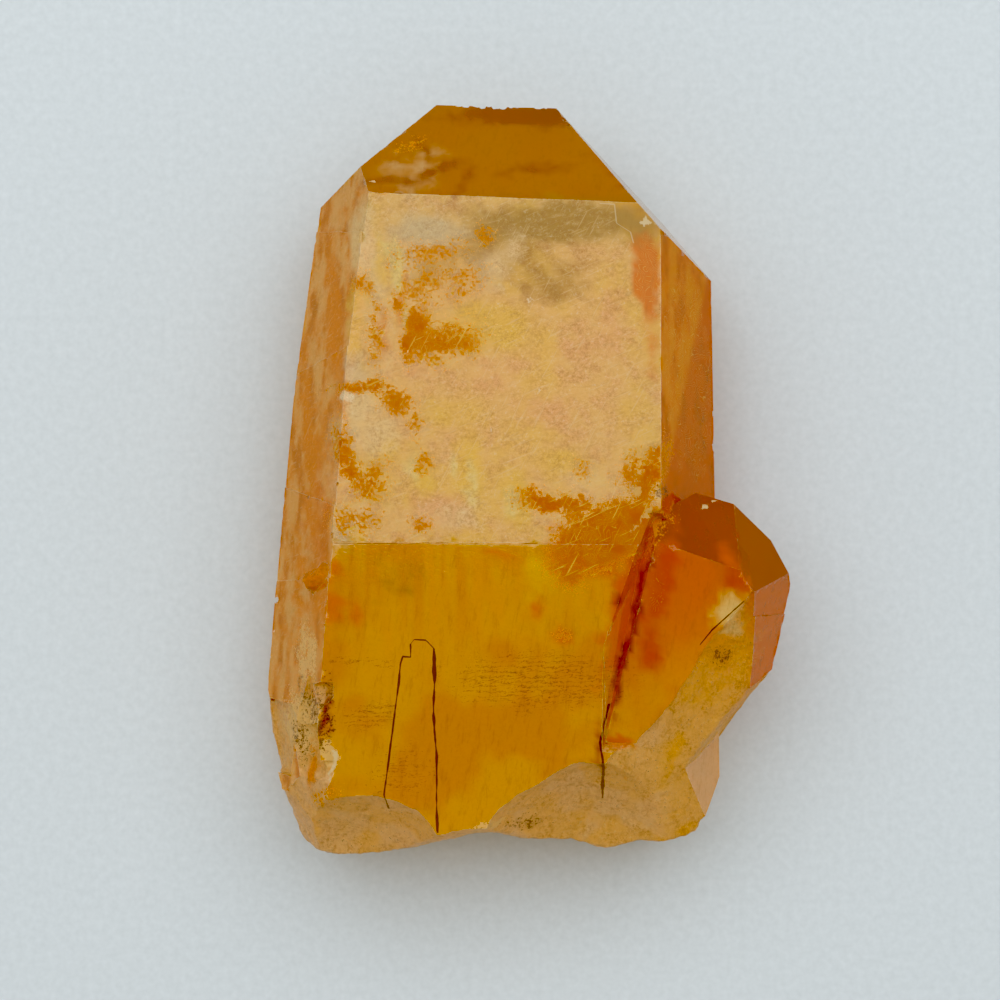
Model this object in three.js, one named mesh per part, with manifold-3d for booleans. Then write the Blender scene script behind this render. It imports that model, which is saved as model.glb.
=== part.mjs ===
// Tangerine quartz: a flattened quartz crystal that lies on one of its prism faces, with a smaller crystal
// grown into its side near the broken root. The two are intergrown, so they are one solid.
//
// Units are millimetres. +Y runs along the large crystal's c axis, from the broken root to the tip, +X is to the
// right seen from above, and +Z is up from the surface that the crystal lies on. The origin is the middle of the
// bounding box, at the level of that surface.

import * as THREE from "three";
import { ConvexGeometry } from "three/addons/geometries/ConvexGeometry.js";
import { ImprovedNoise } from "three/addons/math/ImprovedNoise.js";
import { mergeVertices } from "three/addons/utils/BufferGeometryUtils.js";
import Module from "manifold-3d";

const wasm = await Module();
wasm.setup();

// ---- Driving dimensions -------------------------------------------------------------------------------------

const THICKNESS = 16.8; // large crystal, from its rest face to its front face
const MID_HEIGHT = THICKNESS / 2;
const RHOMB = 51.8; // angle of quartz's rhombohedral tip faces from the c axis' normal plane, in degrees

// A crystal face is a plane: azimuth turns about the c axis from straight up towards +X, inclination is the
// angle from the c axis to the face's normal, both in degrees, and distance is from the crystal's centre.
const MAIN_CENTRE = new THREE.Vector3(0, 0, MID_HEIGHT);
const MAIN_FACES = [
  { azimuth: 0, inclination: 90, distance: MID_HEIGHT }, // front prism face, root half
  { azimuth: 0, inclination: 88.5, distance: 8.3 }, // front prism face, tip half, slightly tapered
  { azimuth: 58.5, inclination: 89.2, distance: 15.83 }, // right prism face
  { azimuth: 120.2, inclination: 89.1, distance: 16.49 }, // back right prism face
  { azimuth: 180, inclination: 90, distance: MID_HEIGHT }, // rest face
  { azimuth: -121, inclination: 85.5, distance: 16.28 }, // back left prism face, root half
  { azimuth: -121, inclination: 82.8, distance: 16.6 }, // back left prism face, tip half
  { azimuth: -59, inclination: 86.3, distance: 16.2 }, // left prism face, root half
  { azimuth: -59, inclination: 83.5, distance: 16.48 }, // left prism face, tip half
  { azimuth: 1.7, inclination: RHOMB, distance: 21.68 }, // front tip face
  { azimuth: 179.3, inclination: RHOMB, distance: 20.75 }, // back tip face
  { azimuth: -83.8, inclination: 41.5, distance: 29.5 }, // left tip face
  { azimuth: 78.3, inclination: 48.8, distance: 26.22 }, // right tip face, seen nearly edge on from above
  { azimuth: 0, inclination: 180, distance: 40 }, // beyond the root, where the break takes over
];

// The small crystal leans away from the large one, and its tip rises a little.
const SIDE_CENTRE = new THREE.Vector3(17.2, -10.3, 10.1);
const SIDE_LEAN = 14; // degrees, to the right
const SIDE_RISE = 3; // degrees, tip upwards
const SIDE_FACES = [
  { azimuth: 0, inclination: 90, distance: 6.73 }, // front prism face
  { azimuth: 60, inclination: 89, distance: 6.44 }, // right prism face
  { azimuth: 120, inclination: 89, distance: 6.0 }, // back right prism face
  { azimuth: 180, inclination: 90, distance: 6.4 }, // back prism face
  { azimuth: -120, inclination: 90, distance: 6.6 }, // back left prism face
  { azimuth: -60, inclination: 90, distance: 8.28 }, // left prism face, which rises out of the large crystal
  { azimuth: 4.1, inclination: RHOMB, distance: 8.68 }, // front tip face
  { azimuth: 47, inclination: 53.5, distance: 7.92 }, // right tip face
  { azimuth: 114, inclination: RHOMB, distance: 7.85 }, // back right tip face
  { azimuth: 180, inclination: RHOMB, distance: 4.3 }, // back tip face
  { azimuth: -112, inclination: RHOMB, distance: 8.0 }, // left tip face
  { azimuth: 0, inclination: 180, distance: 24 }, // beyond the root
];

// ---- Solids from faces, points and shapes ---------------------------------------------------------------------

const radians = THREE.MathUtils.degToRad;

/** A closed manifold-3d solid from any closed three.js geometry. */
function solidOf(geometry) {
  const bare = geometry.clone();
  for (const name of Object.keys(bare.attributes)) {
    if (name !== "position") bare.deleteAttribute(name);
  }
  const merged = mergeVertices(bare, 1e-4);
  return new wasm.Manifold(
    new wasm.Mesh({
      numProp: 3,
      vertProperties: merged.attributes.position.array,
      triVerts: new Uint32Array(merged.index.array),
    }),
  );
}

function faceNormal({ azimuth, inclination }) {
  const a = radians(azimuth);
  const i = radians(inclination);
  return new THREE.Vector3(
    Math.sin(a) * Math.sin(i),
    Math.cos(i),
    Math.cos(a) * Math.sin(i),
  );
}

/** The convex solid inside a list of crystal faces: its corners are where three faces meet inside all others. */
function crystal(faces) {
  const planes = faces.map(
    (face) => new THREE.Plane(faceNormal(face), -face.distance),
  );
  const corners = [];
  for (let i = 0; i < planes.length; i++) {
    for (let j = i + 1; j < planes.length; j++) {
      for (let k = j + 1; k < planes.length; k++) {
        const corner = meetingPoint(planes[i], planes[j], planes[k]);
        const inside =
          corner && planes.every((p) => p.distanceToPoint(corner) < 1e-6);
        if (inside) corners.push(corner);
      }
    }
  }
  return new ConvexGeometry(corners);
}

function meetingPoint(p, q, r) {
  const normals = new THREE.Matrix3().set(
    ...p.normal.toArray(),
    ...q.normal.toArray(),
    ...r.normal.toArray(),
  );
  if (Math.abs(normals.determinant()) < 1e-9) return null;
  return new THREE.Vector3(-p.constant, -q.constant, -r.constant).applyMatrix3(
    normals.invert(),
  );
}

// ---- Broken surfaces ------------------------------------------------------------------------------------------

const noise = new ImprovedNoise();

/** The relief of a conchoidal break: broad swells with finer ones on them, about 1 high before scaling. */
function breakRelief(x, y, seed) {
  const swell = noise.noise(x * 0.21, y * 0.21, seed);
  const ripple = noise.noise(x * 0.62, y * 0.62, seed + 4.7);
  return swell + 0.38 * ripple;
}

/**
 * A block to cut with. Its face at local z = 0 is moved by height(x, y), and the block lies on the +Z side of it.
 */
function roughBlock(width, length, thickness, cell, height) {
  const block = new THREE.BoxGeometry(
    width,
    length,
    thickness,
    Math.round(width / cell),
    Math.round(length / cell),
    1,
  ).translate(0, 0, thickness / 2);
  const position = block.attributes.position;
  for (let i = 0; i < position.count; i++) {
    if (Math.abs(position.getZ(i)) < 1e-6) {
      position.setZ(i, height(position.getX(i), position.getY(i)));
    }
  }
  return block;
}

/** A rough block placed with its rough face through a point, taking away what is on the outward side. */
function breakAway({ point, outward, size, cell, relief, seed }) {
  const block = roughBlock(
    size,
    size,
    12,
    cell,
    (x, y) => relief * breakRelief(x, y, seed),
  );
  const turn = new THREE.Quaternion().setFromUnitVectors(
    new THREE.Vector3(0, 0, 1),
    new THREE.Vector3(...outward).normalize(),
  );
  return solidOf(block.applyQuaternion(turn).translate(...point));
}

/** The shell shaped hollow of a conchoidal break: part of a swelling ball, widened from left to right. */
function scoop({ centre, radius, widen, swell, seed }) {
  const ball = new THREE.SphereGeometry(radius, 64, 44);
  const position = ball.attributes.position;
  const point = new THREE.Vector3();
  for (let i = 0; i < position.count; i++) {
    point.fromBufferAttribute(position, i);
    const moved = 1 + (swell / radius) * breakRelief(point.x, point.y, seed);
    point.multiplyScalar(moved);
    position.setXYZ(i, point.x * widen, point.y, point.z);
  }
  return solidOf(ball.translate(...centre));
}

/** Repeatable random numbers from 0 to 1. */
function randomFrom(seed) {
  let state = seed >>> 0;
  return () => {
    state = (Math.imul(state, 1664525) + 1013904223) >>> 0;
    return state / 4294967296;
  };
}

/** A small splintery lump to cut a chip with: an icosahedron stretched and turned at random. */
function chip(centre, size, random) {
  const lump = new THREE.IcosahedronGeometry(size, 0);
  lump.scale(0.7 + 0.7 * random(), 0.8 + 0.9 * random(), 0.6 + 0.5 * random());
  lump.rotateX(Math.PI * random());
  lump.rotateY(Math.PI * random());
  lump.rotateZ(Math.PI * random());
  return solidOf(lump.translate(...centre));
}

// ---- The large crystal ----------------------------------------------------------------------------------------

const MAIN_PLACE = new THREE.Matrix4().setPosition(MAIN_CENTRE);

// A growth step lowers a face from a line across it to the tip. The line is at y = from on the crystal's axis
// and runs askew by skew degrees, and the lowered part also tapers towards the tip by taper degrees.
const LEFT_FACE_ROOT = { azimuth: -59, inclination: 86.3, distance: 16.2 };
const LEFT_FACE_TIP = { azimuth: -59, inclination: 83.5, distance: 16.48 };
const LEFT_STEPS = [
  { face: LEFT_FACE_ROOT, from: -7.6, depth: 0.08, skew: 3, taper: 0.2 },
  { face: LEFT_FACE_ROOT, from: -1.5, depth: 0.2, skew: -9, taper: 0.6 },
  { face: LEFT_FACE_TIP, from: 11.2, depth: 0.14, skew: 12, taper: 0 },
  { face: LEFT_FACE_TIP, from: 21.0, depth: 0.26, skew: -5, taper: 0 },
];
const FRONT_FACE = { azimuth: 0, inclination: 90, distance: MID_HEIGHT };
const FRONT_LEDGE = { from: -3.6, depth: 0.14, skew: -0.6, taper: 1.5 };

function growthStep(place, face, { from, depth, skew, taper }) {
  const size = 60;
  const slab = new THREE.BoxGeometry(size, size, 4)
    .translate(0, size / 2, 2)
    .rotateX(-radians(taper))
    .rotateZ(radians(skew))
    .translate(0, from, -depth);
  const outward = faceNormal(face);
  const along = new THREE.Vector3(0, 1, 0).projectOnPlane(outward).normalize();
  const across = new THREE.Vector3().crossVectors(along, outward);
  const onFace = new THREE.Matrix4()
    .makeBasis(across, along, outward)
    .setPosition(outward.clone().multiplyScalar(face.distance));
  return solidOf(slab.applyMatrix4(onFace).applyMatrix4(place));
}

// A shallow re-entrant groove leads down to the small crystal's left face.
const GROOVE_CORNERS = [
  [12.6, -1.0, THICKNESS],
  [8.7, -12.2, THICKNESS],
  [8.6, -21.2, THICKNESS],
  [13.6, -2.0, THICKNESS - 1.7],
  [8.95, -19.9, THICKNESS - 1.0],
];

function groove() {
  const points = GROOVE_CORNERS.map((corner) => new THREE.Vector3(...corner));
  const right = points.map((p) => new THREE.Vector3(p.x + 6, p.y, p.z));
  const above = points.map((p) => new THREE.Vector3(p.x, p.y, THICKNESS + 3));
  return solidOf(new ConvexGeometry([...points, ...right, ...above]));
}

// ---- The small crystal ----------------------------------------------------------------------------------------

// Its lower right side is broken off steeply, down to the large crystal's right face.
const SIDE_BREAK = {
  point: [21.05, -17.92, 9.66],
  outward: [0.743, -0.636, 0.208],
  size: 40,
  cell: 2.2,
  relief: 0.4,
  seed: 2.4,
};

// Its right prism face has one growth step.
const SIDE_RIGHT_FACE = { azimuth: 60, inclination: 89, distance: 6.44 };
const SIDE_STEP = { from: 1.9, depth: 0.12, skew: 4, taper: 0 };

const SIDE_PLACE = new THREE.Matrix4()
  .makeRotationZ(-radians(SIDE_LEAN))
  .multiply(new THREE.Matrix4().makeRotationX(radians(SIDE_RISE)))
  .setPosition(SIDE_CENTRE);

function sideCrystal() {
  return solidOf(crystal(SIDE_FACES).applyMatrix4(SIDE_PLACE))
    .subtract(growthStep(SIDE_PLACE, SIDE_RIGHT_FACE, SIDE_STEP))
    .subtract(breakAway(SIDE_BREAK));
}

// A bud of a third, tiny crystal sits on the edge between the front face and the left face.
const BUD = { point: [-15.0, -6.4, 15.2], size: 1.5, turn: -64, lean: 25 };

function bud() {
  const faces = [0, 60, 120, 180, 240, 300].flatMap((azimuth) => [
    { azimuth, inclination: 90, distance: BUD.size * 0.62 },
    { azimuth, inclination: RHOMB, distance: BUD.size },
  ]);
  faces.push({ azimuth: 0, inclination: 180, distance: BUD.size * 1.2 });
  const grown = crystal(faces).rotateX(radians(BUD.lean));
  return solidOf(grown.rotateZ(radians(BUD.turn)).translate(...BUD.point));
}

// ---- Breaks through both crystals -----------------------------------------------------------------------------

// The break at the root, as the outline that it shows from above: [x, y] from left to right.
const ROOT_OUTLINE = [
  [-27, 4],
  [-19.7, -21.6],
  [-18.9, -25.3],
  [-17.9, -27.4],
  [-17.1, -29.9],
  [-15.4, -30.6],
  [-10.5, -30.7],
  [-5.9, -29.7],
  [-2.1, -28.9],
  [0, -28.9],
  [1.1, -29.5],
  [6.5, -29.6],
  [9, -30.4],
  [12.3, -29.5],
  [14, -29.8],
  [16.7, -29.1],
  [17.6, -28.2],
  [18.3, -26.2],
  [19, -24.4],
  [19.7, -23.6],
  [27, -23.6],
];
const ROOT_BELLY = { height: 8.6, recess: 0.02, relief: 0.25, seed: 7.7 };

function rootLine(x) {
  const next = ROOT_OUTLINE.findIndex(([right]) => right > x);
  const [x0, y0] = ROOT_OUTLINE[next - 1];
  const [x1, y1] = ROOT_OUTLINE[next];
  return THREE.MathUtils.mapLinear(x, x0, x1, y0, y1);
}

/** The root break stands out furthest at mid height and draws back above and below. */
function rootBreak() {
  const width = 52;
  const depth = 24;
  const block = roughBlock(width, depth, 50, 1.1, (x, y) => {
    const recess = ROOT_BELLY.recess * y * y;
    const relief =
      ROOT_BELLY.relief * breakRelief(x * 1.6, y * 1.6, ROOT_BELLY.seed);
    return -(rootLine(x) + recess + relief);
  });
  // Local +Z becomes -Y, and local +Y becomes +Z.
  return solidOf(block.rotateX(Math.PI / 2).translate(0, 0, ROOT_BELLY.height));
}

const LEFT_SCOOP = {
  centre: [-12.4, -34.3, 21.9],
  radius: 10.75,
  widen: 1.05,
  swell: 0.5,
  seed: 1.3,
};
const RIGHT_SCOOP = {
  centre: [9.4, -33.6, 22.4],
  radius: 12.6,
  widen: 1.12,
  swell: 0.6,
  seed: 5.1,
};

// The long slanting break from the small crystal's front face down to the right scoop.
const LONG_BREAK = {
  point: [20.3, -8.6, 17.0],
  outward: [0.403, -0.344, 0.848],
  size: 50,
  cell: 2.0,
  relief: 0.3,
  seed: 9.2,
};

// The large crystal's edges are splintered near the root. Each splinter is a facet broken from an edge.
const SPLINTERS = [
  { point: [-15.9, -17.6, 16.2], outward: [-0.45, 0.3, 0.84], size: 4.2, seed: 0.6 },
  { point: [-17.4, -17.2, 13.4], outward: [-0.7, -0.1, 0.7], size: 4.8, seed: 3.1 },
  { point: [-16.2, -21.4, 14.6], outward: [-0.62, 0.22, 0.75], size: 4.4, seed: 6.4 },
  { point: [-18.6, -20.4, 10.4], outward: [-0.93, -0.1, 0.35], size: 6, seed: 8.8 },
  { point: [-19.95, -18.9, 8.2], outward: [-1, -0.06, 0.05], size: 6.4, seed: 7.3 },
  { point: [-16.1, -24.8, 15.0], outward: [-0.72, -0.2, 0.66], size: 6, seed: 5.2 },
  { point: [-17.9, -26.4, 11.6], outward: [-0.83, -0.42, 0.36], size: 9, seed: 1.9 },
  { point: [-15.3, -23.2, 16.6], outward: [-0.3, 0.1, 0.95], size: 2.6, seed: 4.4 },
  { point: [17.7, -26.3, 11.6], outward: [0.78, -0.4, 0.48], size: 4.6, seed: 2.7 },
];

function splinters() {
  return SPLINTERS.map((splinter) =>
    breakAway({ ...splinter, cell: 0.9, relief: 0.35 }),
  );
}

// Chips along the edges: each run goes from one point to another, with this many chips of this size.
const CHIP_RUNS = [
  { from: [-3.8, 34.5, 9.1], to: [4.9, 34.5, 8.8], count: 14, size: 0.42, seed: 21 }, // tip
  { from: [4.9, 34.3, 9.3], to: [6.4, 32.1, 10.6], count: 3, size: 0.4, seed: 12 },
  { from: [13.6, 21.4, 16.4], to: [13.6, 1.5, 17.0], count: 5, size: 0.3, seed: 13 }, // right edge
  { from: [-11.9, 25.2, 16.2], to: [-15.2, -14, 16.9], count: 9, size: 0.34, seed: 14 }, // left edge
  { from: [-19.2, -8, 8.2], to: [-19.75, -17.5, 7.7], count: 6, size: 0.6, seed: 16 }, // far left edge
  { from: [18, 16.6, 7.8], to: [18.8, 1.5, 7.9], count: 4, size: 0.36, seed: 17 }, // far right edge
  { from: [17.6, 0.1, 13.0], to: [18.9, -0.3, 12.9], count: 2, size: 0.6, seed: 19 }, // small tip
];

function edgeChips() {
  return CHIP_RUNS.flatMap(({ from, to, count, size, seed }) => {
    const random = randomFrom(seed);
    const start = new THREE.Vector3(...from);
    const end = new THREE.Vector3(...to);
    return Array.from({ length: count }, (_, i) => {
      const along = (i + 0.2 + 0.6 * random()) / count;
      const centre = new THREE.Vector3().lerpVectors(start, end, along);
      return chip(centre, size * (0.7 + 0.6 * random()), random);
    });
  });
}

// ---- Assembly -------------------------------------------------------------------------------------------------

function geometryOf(solid) {
  const mesh = solid.getMesh();
  const geometry = new THREE.BufferGeometry();
  geometry.setAttribute(
    "position",
    new THREE.BufferAttribute(mesh.vertProperties, 3),
  );
  geometry.setIndex(new THREE.BufferAttribute(mesh.triVerts, 1));
  return geometry;
}

function mainCrystal() {
  let solid = solidOf(crystal(MAIN_FACES).applyMatrix4(MAIN_PLACE));
  solid = solid.subtract(growthStep(MAIN_PLACE, FRONT_FACE, FRONT_LEDGE));
  for (const step of LEFT_STEPS) {
    solid = solid.subtract(growthStep(MAIN_PLACE, step.face, step));
  }
  return solid.subtract(groove());
}

function quartz() {
  let solid = mainCrystal().add(bud()).add(sideCrystal());
  const breaks = [
    breakAway(LONG_BREAK),
    scoop(LEFT_SCOOP),
    scoop(RIGHT_SCOOP),
    rootBreak(),
    ...splinters(),
    ...edgeChips(),
  ];
  for (const broken of breaks) solid = solid.subtract(broken);
  return geometryOf(solid);
}

const geometry = quartz();
geometry.computeBoundingBox();
const middle = geometry.boundingBox.getCenter(new THREE.Vector3());

const tangerine = new THREE.MeshStandardMaterial({
  color: 0xd0860f,
  roughness: 0.3,
  metalness: 0,
});
const crystals = new THREE.Mesh(geometry, tangerine);
crystals.name = "quartz_crystals";
crystals.position.set(-middle.x, -middle.y, -geometry.boundingBox.min.z);

const group = new THREE.Group();
group.add(crystals);

export default group;
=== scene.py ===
import math
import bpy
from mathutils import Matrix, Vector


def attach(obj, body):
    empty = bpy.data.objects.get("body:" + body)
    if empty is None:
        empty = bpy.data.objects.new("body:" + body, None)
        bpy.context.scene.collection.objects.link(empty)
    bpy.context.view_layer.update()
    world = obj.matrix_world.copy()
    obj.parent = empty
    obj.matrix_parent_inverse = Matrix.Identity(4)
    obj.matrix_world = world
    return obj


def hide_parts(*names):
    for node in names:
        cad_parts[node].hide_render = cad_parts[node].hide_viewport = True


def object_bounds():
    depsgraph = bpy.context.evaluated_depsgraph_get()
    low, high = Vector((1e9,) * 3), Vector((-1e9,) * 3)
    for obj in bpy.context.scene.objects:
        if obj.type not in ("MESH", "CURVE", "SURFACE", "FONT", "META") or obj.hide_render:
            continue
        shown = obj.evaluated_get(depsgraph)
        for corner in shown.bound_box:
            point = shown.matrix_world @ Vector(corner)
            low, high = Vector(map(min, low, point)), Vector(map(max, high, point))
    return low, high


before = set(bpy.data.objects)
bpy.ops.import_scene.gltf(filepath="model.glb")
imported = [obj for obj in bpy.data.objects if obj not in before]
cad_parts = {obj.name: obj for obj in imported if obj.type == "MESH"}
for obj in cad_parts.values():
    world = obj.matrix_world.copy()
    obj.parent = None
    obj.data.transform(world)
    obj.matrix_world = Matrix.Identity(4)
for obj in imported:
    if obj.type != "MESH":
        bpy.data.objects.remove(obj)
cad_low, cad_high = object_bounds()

from types import SimpleNamespace

import bmesh
import bpy
import numpy as np
from mathutils import Vector, noise

MM = 0.001


# ---------------------------------------------------------------------------
# The quartz: a large crystal and a small one beside it, grown together as one piece.
# The faces that grew are flat and glassy; the root end, both scoops and the long
# break beside the small crystal are where the cluster was snapped from its rock.
# ---------------------------------------------------------------------------

FLAT_WITHIN = math.radians(0.3)  # faces of one crystal face lie this close to one plane
SMALLEST_GROWN = 6 * MM**2       # a smaller flat patch is part of a break
CELL = Vector((0.45, 0.36, 0.45)) * MM  # spacing of the points that carry the fine relief
FIRST_CUT = 0.47                 # of a cell in from the solid's side, so that no cut runs along it

GROWN, EDGE, BROKEN = 0, 1, 2    # what a point of the mesh lies on


def crystal_mesh():
    """The crystals' solid as an editable mesh, its points joined and its flat faces whole."""
    mesh = bmesh.new()
    mesh.from_mesh(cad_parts["quartz_crystals"].data)
    bmesh.ops.remove_doubles(mesh, verts=mesh.verts, dist=0.002 * MM)
    bmesh.ops.dissolve_degenerate(mesh, edges=mesh.edges[:], dist=0.002 * MM)
    bmesh.ops.dissolve_limit(mesh, angle_limit=FLAT_WITHIN, verts=mesh.verts[:], edges=mesh.edges[:])
    return mesh


def lies_in_plane(face, plane):
    """True if every corner of the face is in the other face's plane, to a few thousandths of a mm."""
    start = plane.verts[0].co
    return all(abs((vert.co - start).dot(plane.normal)) < 0.004 * MM for vert in face.verts)


def flat_patch(start, seen):
    """The faces round this one that lie in its plane."""
    patch = [start]
    seen.add(start)
    for face in patch:  # the list grows as neighbours are found
        for edge in face.edges:
            for other in edge.link_faces:
                if other not in seen and lies_in_plane(other, start):
                    seen.add(other)
                    patch.append(other)
    return patch


def number_grown_faces(mesh):
    """Numbers the crystal faces from 1 on each of their mesh faces; broken surface keeps 0."""
    number = mesh.faces.layers.int.new("crystal_face")
    seen, count = set(), 0
    for start in sorted(mesh.faces, key=lambda face: -face.calc_area()):
        if start in seen:
            continue
        patch = flat_patch(start, seen)
        if sum(face.calc_area() for face in patch) < SMALLEST_GROWN:
            continue
        count += 1
        for face in patch:
            face[number] = count
    return number


def cut_into_cells(mesh):
    """Cuts every face along an even lattice, so that relief has points to move."""
    for axis in range(3):
        direction = Vector((0, 0, 0))
        direction[axis] = 1
        place = cad_low[axis] + FIRST_CUT * CELL[axis]
        while place < cad_high[axis]:
            everything = mesh.verts[:] + mesh.edges[:] + mesh.faces[:]
            bmesh.ops.bisect_plane(mesh, geom=everything, dist=1e-7, plane_co=direction * place,
                                   plane_no=direction)
            place += CELL[axis]
    bmesh.ops.triangulate(mesh, faces=mesh.faces[:])


def kind_of(vert, number):
    """Whether a point lies inside one crystal face, on an edge, or inside a break."""
    kinds = {face[number] for face in vert.link_faces}
    if kinds == {0}:
        return BROKEN
    return GROWN if len(kinds) == 1 else EDGE


def soften_breaks(mesh, kinds, rounds=8):
    """Melts the coarse facets of the breaks together, leaving their rims in place."""
    inner = [vert for vert in mesh.verts if kinds[vert] == BROKEN]
    for _ in range(rounds):
        bmesh.ops.smooth_vert(mesh, verts=inner, factor=0.5, use_axis_x=True, use_axis_y=True,
                              use_axis_z=True)


# Where each conchoidal break was struck, in millimetres, and how far apart its ripples are.
STRIKES = [
    (Vector((-14.7, -32.0, 8.0)), 1.5),
    (Vector((8.0, -32.0, 7.0)), 1.9),
    (Vector((22.0, -22.0, 3.0)), 2.3),
]

# The deepest that each kind of relief cuts, in mm.
RIPPLE_DEPTH = 0.05
PIT_DEPTH = 0.16
STRIA_DEPTH = 0.05
NICK_DEPTH = 0.12


def break_relief(place):
    """Depth in mm of the ripples and grain on broken quartz at this place in mm."""
    strike, spacing = min(STRIKES, key=lambda one: (place - one[0]).length)
    wander = noise.noise(place * 0.35) * 1.2
    ripple = math.sin(2 * math.pi * ((place - strike).length / spacing + wander))
    grain = noise.fractal(place * 1.3, 0.8, 2.0, 4)
    return RIPPLE_DEPTH * (1 + ripple) / 2 + PIT_DEPTH * max(0.0, 0.5 + 0.6 * grain)


def stria_relief(place):
    """Depth in mm of the growth lines that cross the prism faces, in steps along the crystal."""
    level = noise.noise(Vector((place.x * 0.05, place.y * 0.9, place.z * 0.05)))
    fine = noise.noise(Vector((place.x * 0.12 + 9, place.y * 2.3, place.z * 0.12)))
    return STRIA_DEPTH * (0.5 + 0.5 * math.copysign(abs(level) ** 0.4, level) + 0.4 * fine)


def nick_relief(place):
    """Depth in mm of the small chips along an edge: most of it is whole."""
    return NICK_DEPTH * max(0.0, noise.noise(place * 1.1) - 0.22) / 0.5


def ramp(value, start, end):
    """0 where value is at start and 1 where it is at end, straight between them."""
    return min(1.0, max(0.0, (value - start) / (end - start)))


def relief_depth(place, normal, kind):
    """Depth in mm of the relief at a point of the mesh: none where it rests on the table."""
    if place.z < 0.05:
        return 0
    if kind == BROKEN:
        return break_relief(place)
    if kind == EDGE:
        return nick_relief(place)
    steep = ramp(abs(normal.z), 0.8, 0.6)
    below_tip = ramp(normal.y, 0.4, 0.2)
    return stria_relief(place) * steep * below_tip


def carve_relief(mesh, kinds):
    """Lowers each point along its normal by the relief of the surface that it lies on."""
    moves = [vert.normal * relief_depth(vert.co / MM, vert.normal, kinds[vert]) * MM
             for vert in mesh.verts]
    for vert, move in zip(mesh.verts, moves):
        vert.co -= move


# The quartz's own colours, as red, green and blue.
AMBER_LIGHT = (0.93, 0.49, 0.070)
AMBER_DEEP = (0.86, 0.38, 0.010)
HONEY = (0.94, 0.43, 0.006)
EMBER = (0.82, 0.22, 0.001)
ORANGE = (0.86, 0.19, 0.001)
BRICK = (0.74, 0.12, 0.001)
TAWNY = (0.36, 0.045, 0.001)
GARNET = (0.22, 0.002, 0.001)
SIENNA = (0.90, 0.27, 0.006)
UMBER = (0.47, 0.165, 0.006)
MAHOGANY = (0.34, 0.08, 0.003)
PEACH = (0.99, 0.60, 0.19)
LINEN = (1.00, 0.72, 0.32)
ROSE = (0.98, 0.52, 0.20)
STRAW = (1.00, 0.63, 0.09)
# painted shade, used for the band under the top edge
OLIVE_SHADE = (0.50, 0.28, 0.045)
GLOW = (1.00, 0.80, 0.26)
HAZE = (0.82, 0.62, 0.32)
BUFF = (0.98, 0.64, 0.32)

SMALL_CRYSTAL_EDGE_LIGHT = 0.86  # how strong the painted highlight along its edges is, beside 1 for the large crystal's
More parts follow.
